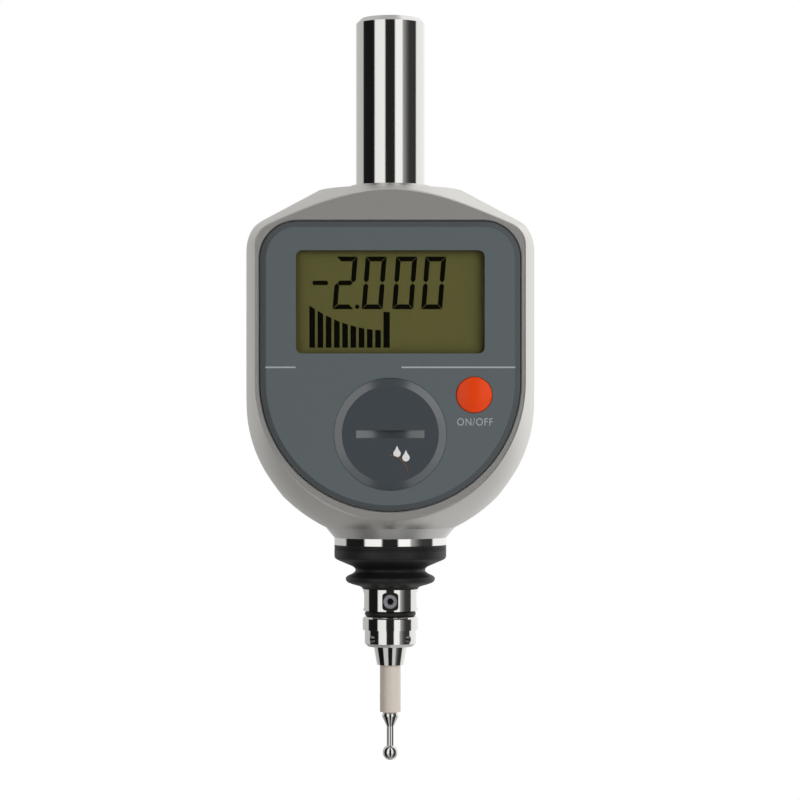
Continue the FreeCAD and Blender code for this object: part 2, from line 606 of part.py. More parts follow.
def make_battery_bay():
    holder = turned("battery_holder", [
        ("0", "well_floor"), ("holder_radius", "well_floor"), ("holder_radius", "holder_front"),
        ("holder_bore", "holder_front"), ("holder_bore", "holder_floor"), ("0", "holder_floor")])
    contact = turned("battery_contact", [
        ("contact_inner", "cell_back - contact_thick"), ("contact_outer", "holder_floor"),
        ("contact_outer", "holder_floor + contact_thick"), ("contact_inner", "cell_back")])
    cell = turned("coin_cell", [
        ("0", "cell_back"), ("cell_cap_radius", "cell_back"), ("cell_cap_radius", "cell_back + cell_step"),
        ("cell_radius", "cell_back + cell_step"), ("cell_radius", "cell_back + cell_thick"),
        ("0", "cell_back + cell_thick")])
    dress(cell, "PartDesign::Fillet", rim("cell_back + cell_thick", "cell_radius"), "cell_edge")
    seal = seal_ring("cover_o_ring", "thread_radius + ring_section + running_gap", "ring_section",
                     "(cover_seat + cover_flange_back) / 2")
    cover = turned("battery_cover", [
        ("0", "cover_floor"), ("skirt_inner", "cover_floor"), ("skirt_inner", "skirt_back"),
        ("thread_radius", "skirt_back"), ("thread_radius", "cover_flange_back"),
        ("cover_radius", "cover_flange_back"), ("cover_radius", "panel_front"),
        ("cover_face_radius", "cover_front"), ("0", "cover_front")])
    # Coin slot, sunk with a disc cutter, so its floor is an arc.
    cutter = "((slot_long ^ 2 / 4 + slot_deep ^ 2) / (2 * slot_deep))"
    pocket(cover, circles(new_sketch(cover), cutter, [("0", f"cover_front - slot_deep + {cutter}")]),
           "slot_wide", both=True)
    for body in (holder, contact, cell, seal, cover):
        face_front(body, "0", "cover_drop")


# ---- measuring rod -----------------------------------------------------------------------------

def make_measuring_rod():
    rod_end = "-arm_top + tip_gap"
    body = turned("plunger", [
        ("0", "-rod_top"), ("0", rod_end, "rod_radius", 1), ("rod_radius", f"{rod_end} + rod_radius"),
        ("rod_radius", "-rod_flange_drop - rod_flange_thick"),
        ("rod_flange_radius", "-rod_flange_drop - rod_flange_thick"),
        ("rod_flange_radius", "-rod_flange_drop"), ("rod_radius", "-rod_flange_drop"),
        ("rod_radius", "-rod_top")])
    pocket(body, box(new_sketch(body, lift="rod_radius + overcut"), "-rod_radius - overcut", "rod_radius + overcut",
                     "-scale_low", "-scale_top"), "rod_radius + overcut - scale_flat")

    scale = doc.addObject("Part::Box", "encoder_scale")
    scale.Label = "encoder_scale"
    for name, text in (("Length", "scale_wide"), ("Width", "scale_thick"),
                       ("Height", "scale_low - scale_top"), ("Placement.Base.x", "-scale_wide / 2"),
                       ("Placement.Base.y", "-scale_flat - scale_thick"),
                       ("Placement.Base.z", "-scale_low")):
        scale.setExpression(name, bound(text))
    GROUPS["encoder_scale"] = scale

    tube("plunger_bush", "rod_radius + running_gap", "bush_bore_radius", "-bush_top", "-bush_low")
    tube("spring_washer", "washer_hole", "washer_radius", "-bush_low", "-bush_low - washer_thick")


def make_spring():
    """Compression spring between the washer and the rod's flange.

    Each half turn is half a torus tilted about Y, so the coil climbs a quarter of its pitch on
    either side of the half turn's centre and runs smoothly into the next half."""
    foot = "(-rod_flange_drop + wire_radius + spring_play)"
    tall = "(rod_flange_drop - bush_low - washer_thick - 2 * wire_radius - 2 * spring_play)"
    quarter = f"({tall} / coil_halves / 2)"
    tilt = math.degrees(math.atan(value(quarter) / value("coil_radius")))
    halves = []
    for index in range(int(value("coil_halves"))):
        half = doc.addObject("Part::Torus", "coil")
        half.Angle3 = 180
        half.Placement.Rotation = (Rotation(Vector(0, 0, 1), 180 * (index % 2))
                                   * Rotation(Vector(0, 1, 0), tilt))
        half.setExpression("Radius1", bound(f"sqrt(coil_radius ^ 2 + {quarter} ^ 2)"))
        half.setExpression("Radius2", bound("wire_radius"))
        half.setExpression("Placement.Base.z", bound(f"{foot} + {quarter} * {2 * index + 1}"))
        halves.append(half)
    spring = doc.addObject("Part::MultiFuse", "measuring_spring")
    spring.Label = "measuring_spring"
    spring.Shapes = halves
    GROUPS["measuring_spring"] = spring


def make_reader():
    for label, back, front in (("encoder_read_head", "reader_front", "reader_back"),
                               ("read_head_carrier", "reader_back", "board_front - board_thick")):
        body = new_body(label)
        pad(body, box(new_sketch(body, lift=back), "-reader_half", "reader_half", "-reader_low",
                      "-reader_top"), f"{front} - ({back})")


# ---- guide, carriage and gimbal ---------------------------------------------------------------

def cross_hole(body, plane, radius, lift, length, back=False, both=False):
    """Drill a hole across the axis at the pivot's height, square to a plane."""
    return pocket(body, circles(new_sketch(body, plane, lift), radius, [("0", "-pivot_drop")]),
                  length, back=back, both=both)


def cross_pins(label, plane, mirror, inner, outer):
    """Two pins in line across the axis."""
    body = new_body(label)
    pin = pad(body, circles(new_sketch(body, plane, inner), "pin_radius", [("0", "-pivot_drop")]),
              f"{outer} - {inner}")
    mirrored(body, [pin], mirror)


def make_carriage_and_gimbal():
    tube("guide_bush", "guide_inner", "chamber_radius", "-chamber_top", "-stop_drop")
    carriage = tube("carriage_sleeve", "carriage_inner", "guide_inner - running_gap", "-carriage_top",
                    "-stop_drop")
    cross_hole(carriage, "YZ_Plane", "pin_radius", "0", "3 * guide_inner", both=True)
    cross_pins("gimbal_pins_x", "YZ_Plane", "YZ_Plane", "pin_x_inner", "pin_x_outer")
    ring = tube("gimbal_ring", "gimbal_inner", "gimbal_outer", "-pivot_drop + gimbal_half",
                "-pivot_drop - gimbal_half")
    cross_hole(ring, "YZ_Plane", "pin_radius + running_gap", "0", "3 * gimbal_outer", both=True)
    cross_hole(ring, "XZ_Plane", "pin_radius", "0", "3 * gimbal_outer", both=True)
    cross_pins("gimbal_pins_y", "XZ_Plane", "XZ_Plane", "pin_y_inner", "pin_y_outer")


def make_probe_arm():
    body = turned("probe_arm", [
        ("0", "-arm_spigot_drop"), ("arm_spigot_radius", "-arm_spigot_drop"),
        ("arm_spigot_radius", "-head_top"), ("arm_radius", "-head_top"),
        ("arm_radius", "-pivot_drop - hub_half"), ("hub_radius", "-pivot_drop - hub_half"),
        ("hub_radius", "-pivot_drop + hub_half"), ("arm_stem_radius", "-pivot_drop + hub_half"),
        ("arm_stem_radius", "-arm_top"), ("0", "-arm_top")])
    hole = cross_hole(body, "XZ_Plane", "pin_radius + running_gap", "pin_y_inner - pin_end_play",
                      "hub_radius", back=True)
    mirrored(body, [hole], "XZ_Plane")


# ---- probe head and stylus ---------------------------------------------------------------------

def make_probe_head():
    body = turned("probe_head", [
        ("arm_spigot_radius", "-head_top"), ("arm_spigot_radius", "-head_web_drop"),
        ("head_bore", "-head_web_drop"), ("head_bore", "-head_drop"), ("head_radius", "-head_drop"),
        ("head_radius", "-head_top")])
    window = pocket(body, rounded_box(new_sketch(body, lift="head_radius + overcut"), "window_wide / 2",
                                      "-window_top", "-window_low", "window_corner"),
                    "head_radius + overcut - window_floor")
    hole = pocket(body, circles(new_sketch(body, lift="window_floor + overcut"), "grub_radius",
                                [("0", "-grub_drop")]), "window_floor + overcut - grub_inner")
    around(body, [window, hole], 4)

    screws = new_body("centring_screws")
    shank = pad(screws, circles(new_sketch(screws, lift="grub_inner"), "grub_radius",
                                [("0", "-grub_drop")]), "grub_outer - grub_inner")
    socket = pocket(screws, hexagon(new_sketch(screws, lift="grub_outer"), "grub_socket", "-grub_drop"),
                    "grub_socket_deep")
    around(screws, [shank, socket], 4)
    seal_ring("head_o_ring", "head_ring_mean", "head_ring_section", "-(head_drop + clamp_top) / 2")


def make_stylus():
    clamp = turned("clamp_ring", [
        ("stylus_bore", "-clamp_drop"), ("clamp_radius", "-clamp_drop"), ("clamp_radius", "-clamp_top"),
        ("clamp_neck", "-clamp_top"), ("clamp_neck", "-head_drop"), ("stylus_bore", "-head_drop")])
    dress(clamp, "PartDesign::Chamfer", rim("-clamp_top", "clamp_radius"), "clamp_chamfer")

    nut = tube("stylus_nut", "stylus_bore", "nut_radius", "-clamp_drop", "-nut_drop")
    dress(nut, "PartDesign::Chamfer", rim("-nut_drop", "nut_radius"), "nut_chamfer")
    hole = pocket(nut, circles(new_sketch(nut, lift="nut_radius + overcut"), "nut_hole_radius",
                               [("0", "-nut_hole_drop")]), "nut_radius + overcut - nut_hole_floor")
    around(nut, [hole], 4)
    nut.Placement = Placement(Vector(0, 0, 0), Rotation(Vector(0, 0, 1), 45))

    turned("stylus_holder", [
        ("0", "-holder_top"), ("0", "-stub_top + end_gap"), ("stub_radius", "-stub_top + end_gap"),
        ("stub_radius", "-holder_drop"), ("holder_narrow", "-holder_drop"),
        ("holder_wide", "-nut_drop"), ("holder_shank", "-nut_drop"), ("holder_shank", "-holder_top")])
    turned("ceramic_shaft", [
        ("0", "-stub_top"), ("0", "-stem_hole_top"), ("stem_hole", "-stem_hole_top"),
        ("stem_hole", "-shaft_drop"), ("shaft_radius", "-shaft_drop"), ("shaft_radius", "-holder_drop"),
        ("stub_radius", "-holder_drop"), ("stub_radius", "-stub_top")])
    seat = "-ball_drop + sqrt(ball_radius ^ 2 - stem_radius ^ 2)"
    turned("stylus_stem", [
        ("0", "-stem_hole_top - end_gap"), ("0", "-ball_hole_top"), ("ball_hole", "-ball_hole_top"),
        ("ball_hole", seat), ("stem_radius", seat), ("stem_radius", "-tip_cone_drop"),
        ("tip_wide", "-tip_wide_drop"), ("tip_collar", "-shaft_drop"), ("stem_hole", "-shaft_drop"),
        ("stem_hole", "-stem_hole_top - end_gap")])
    turned("probe_ball", [
        ("0", "-ball_hole_top - end_gap / 2"), ("0", "-ball_drop - ball_radius", "ball_radius", 1),
        ("ball_radius", "-ball_drop", "ball_radius", 1), ("stem_radius", seat), ("ball_hole", seat),
        ("ball_hole", "-ball_hole_top - end_gap / 2")])


make_housing()
make_shank()
make_shank_screw()
make_retaining_ring()
make_bellows()
make_front_panel()
make_panel_seal()
make_display()
make_circuit_board()
make_board_screws()
make_button()
make_battery_bay()
make_measuring_rod()
make_spring()
make_reader()
make_carriage_and_gimbal()
make_probe_arm()
make_probe_head()
make_stylus()
doc.recompute()

# ---- check and write ---------------------------------------------------------------------------

for item in doc.Objects:
    if "Invalid" in item.State or "Error" in item.State:
        raise RuntimeError(f"{item.Label} did not build")
for label, part in GROUPS.items():
    if part.Shape.isNull() or not part.Shape.isValid() or not part.Shape.Solids:
        raise RuntimeError(f"{label} has no valid solid")
os.makedirs("parts", exist_ok=True)
for label, part in GROUPS.items():
    part.Shape.exportStep(f"parts/{label}.step")
print(len(GROUPS), "pieces written")
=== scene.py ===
"""Looks of a three-axis digital edge finder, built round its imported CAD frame.

+Z runs up the shank and the display faces -Y. Sizes of pieces are in millimetres, scaled by MM; the
grain of materials, the stage, the lamp and the camera are in metres.
"""

import math

import bmesh
import bpy
from mathutils import Matrix, Vector


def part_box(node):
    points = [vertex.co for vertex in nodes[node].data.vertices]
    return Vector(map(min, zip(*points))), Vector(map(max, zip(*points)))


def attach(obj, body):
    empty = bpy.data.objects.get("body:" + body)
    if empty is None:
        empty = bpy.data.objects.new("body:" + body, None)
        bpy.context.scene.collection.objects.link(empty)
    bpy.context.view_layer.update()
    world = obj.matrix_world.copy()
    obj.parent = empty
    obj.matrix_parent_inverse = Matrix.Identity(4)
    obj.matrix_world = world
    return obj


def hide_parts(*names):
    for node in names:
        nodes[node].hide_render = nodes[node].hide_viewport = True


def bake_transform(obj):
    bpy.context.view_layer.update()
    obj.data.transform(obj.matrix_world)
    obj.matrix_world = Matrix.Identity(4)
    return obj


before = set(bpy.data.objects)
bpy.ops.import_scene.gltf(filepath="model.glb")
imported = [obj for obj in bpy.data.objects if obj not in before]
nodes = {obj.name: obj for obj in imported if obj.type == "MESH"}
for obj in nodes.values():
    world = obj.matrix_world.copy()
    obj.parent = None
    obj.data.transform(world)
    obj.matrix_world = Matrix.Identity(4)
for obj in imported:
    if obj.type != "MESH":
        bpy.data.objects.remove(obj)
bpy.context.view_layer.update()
scene = bpy.context.scene
MM = 0.001


# ---------------------------------------------------------------- small tools


def srgb(code):
    """A colour written as six hex digits, in linear light."""
    parts = [int(code[i : i + 2], 16) / 255 for i in (0, 2, 4)]
    return tuple(c / 12.92 if c <= 0.04045 else ((c + 0.055) / 1.055) ** 2.4 for c in parts) + (1.0,)


def add(tree, kind, sockets=(), **settings):
    """One shader node. A socket takes a plain value, or another node's output to be linked."""
    node = tree.nodes.new("ShaderNode" + kind)
    for name, value in settings.items():
        setattr(node, name, value)
    for name, value in dict(sockets).items():
        if isinstance(value, bpy.types.NodeSocket):
            tree.links.new(value, node.inputs[name])
        else:
            node.inputs[name].default_value = value
    return node


def new_tree(name):
    material = bpy.data.materials.new(name)
    material.use_nodes = True
    material.node_tree.nodes.clear()
    return material, material.node_tree


def close(tree, shader):
    add(tree, "OutputMaterial", {"Surface": shader.outputs[0]})


def stretched(tree, scale):
    """Object coordinates in metres, scaled apart on each axis."""
    place = add(tree, "TexCoord")
    return add(tree, "Mapping", {"Vector": place.outputs["Object"], "Scale": scale}).outputs[0]


def between(tree, amount, low, high):
    """A number that runs from low to high as amount runs from 0 to 1."""
    return add(
        tree, "MapRange", {"Value": amount, "To Min": low, "To Max": high}
    ).outputs["Result"]


def grain(tree, scale, size, depth):
    """Fine unevenness as a normal, with grains of the given size, and the noise that makes it."""
    noise = add(
        tree,
        "TexNoise",
        {"Vector": stretched(tree, scale), "Scale": 1 / size, "Detail": 3.0, "Roughness": 0.6},
    )
    bump = add(
        tree, "Bump", {"Height": noise.outputs[0], "Strength": 1.0, "Distance": depth}
    )
    return bump.outputs[0], noise.outputs[0]


def metal(name, colour, roughness, spread=0.03, scale=(1, 1, 1), size=0.0004, depth=2e-7):
    """A bare metal with a grain that also varies its gloss."""
    material, tree = new_tree(name)
    normal, noise = grain(tree, scale, size, depth)
    close(
        tree,
        add(
            tree,
            "BsdfPrincipled",
            {
                "Base Color": srgb(colour),
                "Metallic": 1.0,
                "Roughness": between(tree, noise, roughness - spread, roughness + spread),
                "Normal": normal,
            },
        ),
    )
    return material


def solid(name, colour, roughness, other=None, size=0.0003, depth=4e-6, specular=0.5, coat=0.0):
    """A moulded or painted solid: two near colours mixed by a fine grain."""
    material, tree = new_tree(name)
    normal, noise = grain(tree, (1, 1, 1), size, depth)
    tint = add(
        tree,
        "MixRGB",
        {"Fac": noise, "Color1": srgb(colour), "Color2": srgb(other or colour)},
    )
    close(
        tree,
        add(
            tree,
            "BsdfPrincipled",
            {
                "Base Color": tint.outputs[0],
                "Roughness": roughness,
                "Specular IOR Level": specular,
                "Coat Weight": coat,
                "Coat Roughness": 0.12,
                "Normal": normal,
            },
        ),
    )
    return material


# ---------------------------------------------------------------- materials


def clear_pane(name):
    """Clear cast plastic: light goes straight through, and the face keeps its gloss."""
    material, tree = new_tree(name)
    through = add(tree, "BsdfTransparent", {"Color": srgb("F4F5F0")})
    gloss = add(tree, "BsdfGlossy", {"Color": srgb("FFFFFF"), "Roughness": 0.04})
    grazing = add(tree, "LayerWeight", {"Blend": 0.5})
    steep = add(tree, "Math", {0: grazing.outputs["Facing"], 1: 5.0}, operation="POWER")
    share = between(tree, steep.outputs[0], 0.04, 0.9)
    close(tree, add(tree, "MixShader", {0: share, 1: through.outputs[0], 2: gloss.outputs[0]}))
    return material


def plate_plastic(name, face, shaded_rim, roughness):
    """A moulded plate with a textured face, whose sloping bevel round the edge is painted a darker
    colour as painted shade.
    """
    material, tree = new_tree(name)
    normal = grain(tree, (1, 1, 1), 0.0003, 3e-6)[0]
    facing = add(tree, "SeparateXYZ", {0: add(tree, "TexCoord").outputs["Normal"]})
    ahead = add(
        tree,
        "MapRange",
        {"Value": facing.outputs[1], "From Min": -0.93, "From Max": -0.985},
    )
    # painted shade: where the surface turns away from the front, on the bevel, the darker colour is
    # mixed in
    tint = add(
        tree,
        "MixRGB",
        {"Fac": ahead.outputs["Result"], "Color1": srgb(shaded_rim), "Color2": srgb(face)},
    )
    close(
        tree,
        add(
            tree,
            "BsdfPrincipled",
            {"Base Color": tint.outputs[0], "Roughness": roughness, "Normal": normal},
        ),
    )
    return material


def ring_steel(name):
    """Stainless steel, polished on its upright band and left satin on its cone."""
    material, tree = new_tree(name)
    normal = grain(tree, (1, 1, 1), 0.0003, 3e-7)[0]
    facing = add(tree, "SeparateXYZ", {0: add(tree, "TexCoord").outputs["Normal"]})
    cone = add(
        tree,
        "MapRange",
        {
            "Value": facing.outputs[2],
            "From Min": -0.15,
            "From Max": -0.4,
            "To Min": 0.06,
            "To Max": 0.36,
        },
    )
    close(
        tree,
        add(
            tree,
            "BsdfPrincipled",
            {
                "Base Color": srgb("EDECEA"),
                "Metallic": 1.0,
                "Roughness": cone.outputs["Result"],
                "Normal": normal,
            },
        ),
    )
    return material


SOCKET_RADIUS, SOCKET_EDGE = 0.78, 0.12


def socket_steel(name):
    """Burnished set screws in four directions, each with its hex socket on its axis painted near-black
    as painted shade.
    """
    low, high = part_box("centring_screws")
    material, tree = new_tree(name)
    place = add(tree, "SeparateXYZ", {0: add(tree, "TexCoord").outputs["Object"]})
    aside = [
        add(tree, "Math", {0: place.outputs[k]}, operation="ABSOLUTE").outputs[0] for k in (0, 1)
    ]
    across = add(tree, "Math", {0: aside[0], 1: aside[1]}, operation="MINIMUM")
    along = add(
        tree, "Math", {0: place.outputs[2], 1: (low.z + high.z) / 2}, operation="SUBTRACT"
    )
    off_axis = add(tree, "CombineXYZ", {0: across.outputs[0], 1: along.outputs[0]})
    out = add(tree, "VectorMath", {0: off_axis.outputs[0]}, operation="LENGTH")
    burnished = add(
        tree,
        "MapRange",
        {
            "Value": out.outputs["Value"],
            "From Min": SOCKET_RADIUS * MM,
            "From Max": (SOCKET_RADIUS + SOCKET_EDGE) * MM,
        },
    )
    # painted shade: a near-black disc over the socket recess, burnished steel around it
    tint = add(
        tree,
        "MixRGB",
        {"Fac": burnished.outputs["Result"], "Color1": srgb("0B0B0C"), "Color2": srgb("9C9DA4")},
    )
    close(
        tree,
        add(
            tree,
            "BsdfPrincipled",
            {"Base Color": tint.outputs[0], "Metallic": 0.35, "Roughness": 0.42},
        ),
    )
    return material


RULE_LINES = 1250.0


def scale_glass(name):
    """A glass rule with fine chromium lines across its length."""
    material, tree = new_tree(name)
    lines = add(
        tree,
        "TexWave",
        {"Vector": stretched(tree, (1, 1, 1)), "Scale": RULE_LINES},
        bands_direction="Z",
    )
    step = add(tree, "Math", {0: lines.outputs["Fac"], 1: 0.5}, operation="GREATER_THAN")
    tint = add(
        tree,
        "MixRGB",
        {"Fac": step.outputs[0], "Color1": srgb("B9C6C2"), "Color2": srgb("6E7578")},
    )
    close(
        tree,
        add(
            tree,
            "BsdfPrincipled",
            {"Base Color": tint.outputs[0], "Roughness": 0.08, "Metallic": step.outputs[0]},
        ),
    )
    return material


def lcd_cell(name):
    """The cell of a reflective display: olive ground, with painted shade making it a little darker
    towards its edges, where the window frame shades it.
    """
    low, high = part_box("lcd_glass")
    middle, half = (low + high) / 2, (high - low) / 2
    material, tree = new_tree(name)
    place = add(tree, "TexCoord")
    centred = add(
        tree,
        "Mapping",
        {
            "Vector": place.outputs["Object"],
            "Location": (-middle.x / half.x, 0, -middle.z / half.z),
            "Scale": (1 / half.x, 0, 1 / half.z),
        },
    )
    apart = add(tree, "SeparateXYZ", {0: centred.outputs[0]})
    edge_shade = []
    for k in (0, 2):
        aside = add(tree, "Math", {0: apart.outputs[k]}, operation="ABSOLUTE")
        edge_shade.append(add(tree, "Math", {0: aside.outputs[0], 1: 10.0}, operation="POWER"))
    shaded_rim = add(
        tree,
        "Math",
        {0: edge_shade[0].outputs[0], 1: edge_shade[1].outputs[0]},
        operation="MAXIMUM",
        use_clamp=True,
    )
    # painted shade: the darker colour 5F5B38 is mixed in towards the cell's edges
    ground = add(
        tree,
        "MixRGB",
        {"Fac": shaded_rim.outputs[0], "Color1": srgb("7C774B"), "Color2": srgb("5F5B38")},
    )
    close(
        tree,
        add(
            tree,
            "BsdfPrincipled",
            {"Base Color": ground.outputs[0], "Roughness": 0.4, "Specular IOR Level": 0.2},
        ),
    )
    return material


finishes = {
    # satin chromed, bead-blasted aluminium
    "satin_housing": metal(
        "satin_chromed_aluminium", "E9E7E3", 0.40, 0.02, size=0.0002, depth=1.5e-6
    ),
    # stainless steel with a polished band and a satin cone
    "ring_metal": ring_steel("polished_stainless_steel"),
    # hardened steel, ground round its axis
    "ground_steel": metal("ground_tool_steel", "E4E3E0", 0.075, 0.02, (1, 1, 12), 0.002, 1e-7),
    # burnished steel set screws, their sockets painted near-black as painted shade
    "dark_screws": socket_steel("burnished_steel"),
    # zinc-plated spring steel
    "zinc_steel": metal("zinc_plated_steel", "C9CBCD", 0.26),
    # oil-filled sintered bronze
    "bush_bronze": metal("sintered_bronze", "B98F58", 0.42, 0.06),
    # black nitrile rubber
    "seal_rubber": solid("nitrile_rubber", "161616", 0.5, "1B1B1B", depth=6e-6),
    # slate-grey moulded front plate with a fine matt skin, its bevel painted darker as painted shade
    "panel_plastic": plate_plastic("matt_slate_abs", "5D6568", "4A4F52", 0.42),
    # dark grey glass-filled nylon
    "cover_plastic": solid(
        "glass_filled_nylon", "454B50", 0.2, "484E53", depth=1e-6, specular=1.0, coat=0.6
    ),
    # black polycarbonate
    "inner_plastic": solid("black_polycarbonate", "26282A", 0.45),
    # signal-orange silicone-coated key
    "button_orange": solid(
        "orange_key_plastic", "EA4406", 0.35, "E84306", depth=1e-6, specular=0.3
    ),
    # clear cast acrylic
    "window_clear": clear_pane("clear_acrylic"),
    # liquid-crystal cell
    "lcd_cell": lcd_cell("liquid_crystal_glass"),
    # white reflector film
    "reflector_white": solid("white_reflector_film", "EDEDE6", 0.5),
    # green solder mask over glass-epoxy laminate
    "board_green": solid("green_solder_mask", "1C5A38", 0.35, "174C30", size=0.002),
    # black moulding compound
    "component_mixed": solid("epoxy_moulding_compound", "2A2A2C", 0.5),
    # nickel-plated cell can
    "cell_steel": metal("nickel_plated_can", "D2D1CC", 0.22),
    # glass rule with chromium lines
    "scale_glass": scale_glass("chromium_on_glass"),
    # sintered white ceramic
    "ceramic": solid("sintered_zirconia", "D3C9BD", 0.38, "D6CCC0", depth=1e-6),
}
for node in nodes.values():
    for place in node.material_slots:
        place.material = finishes[place.material.name.split(".")[0]]

print_grey = solid("light_grey_screen_ink", "A9AEB0", 0.5, depth=0.0)
print_white = solid("white_pad_ink", "E6E6E4", 0.45, depth=0.0)
print_amber = solid("amber_pad_ink", "7A4A1C", 0.5, depth=0.0)
segment_dark = solid("dark_liquid_crystal", "0D0C05", 0.5, depth=0.0, specular=0.0)


# ---------------------------------------------------------------- mesh tools


def new_piece(name, mesh_maker, material, smooth_angle=30):
    """An object whose mesh is made by mesh_maker, with edges sharper than the angle kept sharp."""
    mesh = bpy.data.meshes.new(name)
    bm = bmesh.new()
    mesh_maker(bm)
    bmesh.ops.recalc_face_normals(bm, faces=bm.faces)
    bm.to_mesh(mesh)
    bm.free()
    mesh.shade_smooth()
    mesh.set_sharp_from_angle(angle=math.radians(smooth_angle))
    mesh.materials.append(material)
    piece = bpy.data.objects.new(name, mesh)
    scene.collection.objects.link(piece)
    return piece


def plates(name, outlines, front, thickness, material):
    """Flat marks of one thickness, each an outline of (x, z) in mm, with their faces at y = front."""

    def build(bm):
        for outline in outlines:
            ring = [bm.verts.new((x * MM, front * MM, z * MM)) for x, z in outline]
            face = bm.faces.new(ring)
            back = bmesh.ops.extrude_face_region(bm, geom=[face])
            moved = [v for v in back["geom"] if isinstance(v, bmesh.types.BMVert)]
            bmesh.ops.translate(bm, verts=moved, vec=(0, thickness * MM, 0))

    return new_piece(name, build, material)


def softened(profile, steps=4):
    """A smooth line through the profile's points (r, z)."""
    out = []
    for i in range(len(profile) - 1):
        p0, p1, p2, p3 = (
            Vector(profile[min(max(k, 0), len(profile) - 1)]) for k in range(i - 1, i + 3)
        )
        for s in range(steps):
            t = s / steps
            out.append(
                0.5
                * (
                    2 * p1
                    + (p2 - p0) * t
                    + (2 * p0 - 5 * p1 + 4 * p2 - p3) * t * t
                    + (3 * p1 - p0 - 3 * p2 + p3) * t**3
                )
            )
    return out + [Vector(profile[-1])]


def lathe(name, outer, inner, material, around=120):
    """A closed skin of revolution between an outer and an inner line of (r, z) in mm."""
    loop = softened(outer) + softened(inner)

    def build(bm):
        rings = []
        for k in range(around):
            turn = 2 * math.pi * k / around
            c, s = math.cos(turn), math.sin(turn)
            rings.append([bm.verts.new((r * c * MM, r * s * MM, z * MM)) for r, z in loop])
        for k in range(around):
            here, there = rings[k], rings[(k + 1) % around]
            for i in range(len(loop)):
                j = (i + 1) % len(loop)
                bm.faces.new((here[i], here[j], there[j], there[i]))

    return new_piece(name, build, material, 50)


def lettering(name, text, centre, width, height, front, thickness, material):
    """Printed capitals, centred on (x, z) and fitted to a width and cap height in mm."""
    curve = bpy.data.curves.new(name, "FONT")
    curve.body, curve.extrude, curve.space_character = text, 0.01, 1.12
    draft = bpy.data.objects.new(name + "_draft", curve)
    scene.collection.objects.link(draft)
    bpy.context.view_layer.update()
    graph = bpy.context.evaluated_depsgraph_get()
    mesh = bpy.data.meshes.new_from_object(draft.evaluated_get(graph))
    bpy.data.objects.remove(draft)
    low = [min(v.co[k] for v in mesh.vertices) for k in range(3)]
    high = [max(v.co[k] for v in mesh.vertices) for k in range(3)]
    for v in mesh.vertices:
        u, w, d = ((v.co[k] - low[k]) / (high[k] - low[k]) for k in range(3))
        v.co = (
            (centre[0] + (u - 0.5) * width) * MM,
            (front + (1 - d) * thickness) * MM,
            (centre[1] + (w - 0.5) * height) * MM,
        )
    mesh.name = name
    mesh.materials.clear()
    mesh.materials.append(material)
    piece = bpy.data.objects.new(name, mesh)
    scene.collection.objects.link(piece)
    return piece


# ---------------------------------------------------------------- what the display shows

LCD_DEEP, LCD_GAP = 0.04, 0.005
LCD_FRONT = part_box("lcd_glass")[0].y / MM - LCD_DEEP - LCD_GAP
DIGIT_W, DIGIT_H, STROKE, HAIR = 6.0, 15.0, 1.35, 0.1
SLANT = math.tan(math.radians(4.5))


def seven_segments():
    """The outlines of the seven strokes of a figure, by letter, about its centre."""
    w, h, t, g = DIGIT_W / 2, DIGIT_H / 2, STROKE, HAIR
    top = [(-w + g, h), (w - g, h), (w - t - g, h - t), (-w + t + g, h - t)]
    left = [(-w, h - g), (-w + t, h - t - g), (-w + t, t / 2 + g), (-w + t / 2, g), (-w, t / 2 + g)]
    bar = [
        (-w + t / 2 + g, 0),
        (-w + t + g, t / 2),
        (w - t - g, t / 2),
        (w - t / 2 - g, 0),
        (w - t - g, -t / 2),
        (-w + t + g, -t / 2),
    ]

    def flip(outline, x, z):
        return [(u * x, v * z) for u, v in outline]

    return {
        "a": top,
        "b": flip(left, -1, 1),
        "c": flip(left, -1, -1),
        "d": flip(top, 1, -1),
        "e": flip(left, 1, -1),
        "f": left,
        "g": bar,
    }


def figure(strokes, x, z):
    """One leaning figure centred on (x, z)."""
    shapes = seven_segments()
    return [[(x + u + v * SLANT, z + v) for u, v in shapes[s]] for s in strokes]


def spot(x, z, r, sides=16):
    """A round mark centred on (x, z)."""
    turns = [2 * math.pi * k / sides for k in range(sides)]
    return [(x + r * math.cos(a), z + r * math.sin(a)) for a in turns]


FIGURE_Z = -29.6
FIGURES = (("abged", -12.9), ("abcdef", -4.6), ("abcdef", 4.1), ("abcdef", 12.4))
MINUS_X, MINUS_W, MINUS_H = -20.0, 4.6, 1.25
POINT_X, POINT_Z, POINT_R = -9.45, -36.4, 0.62
minus = ((-0.5, 0), (-0.42, 0.5), (0.42, 0.5), (0.5, 0), (0.42, -0.5), (-0.42, -0.5))
marks = [[(MINUS_X + u * MINUS_W, FIGURE_Z + v * MINUS_H) for u, v in minus]]
for strokes, x in FIGURES:
    marks += figure(strokes, x, FIGURE_Z)
marks.append(spot(POINT_X, POINT_Z, POINT_R))
digits = plates("display_figures", marks, LCD_FRONT, LCD_DEEP, segment_dark)
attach(digits, "housing_body")

BAR_LEFT, BAR_STEP, BAR_WIDE, BAR_FOOT, BARS = -23.1, 2.35, 1.6, -48.1, 9
BAR_LOW, BAR_RISE = 5.0, 7.0
POINTER_WIDE, POINTER_HIGH = 1.8, 10.2


def bar_top(x):
    """The curve under which the pointer bars end."""
    share = min(max((x - BAR_LEFT) / (BARS * BAR_STEP), 0), 1)
    return BAR_FOOT + BAR_LOW + BAR_RISE * (1 - share) ** 2


def column(left, right, left_top, right_top):
    """The outline of one bar standing on the foot of the scale."""
    return [(left, BAR_FOOT), (right, BAR_FOOT), (right, right_top), (left, left_top)]


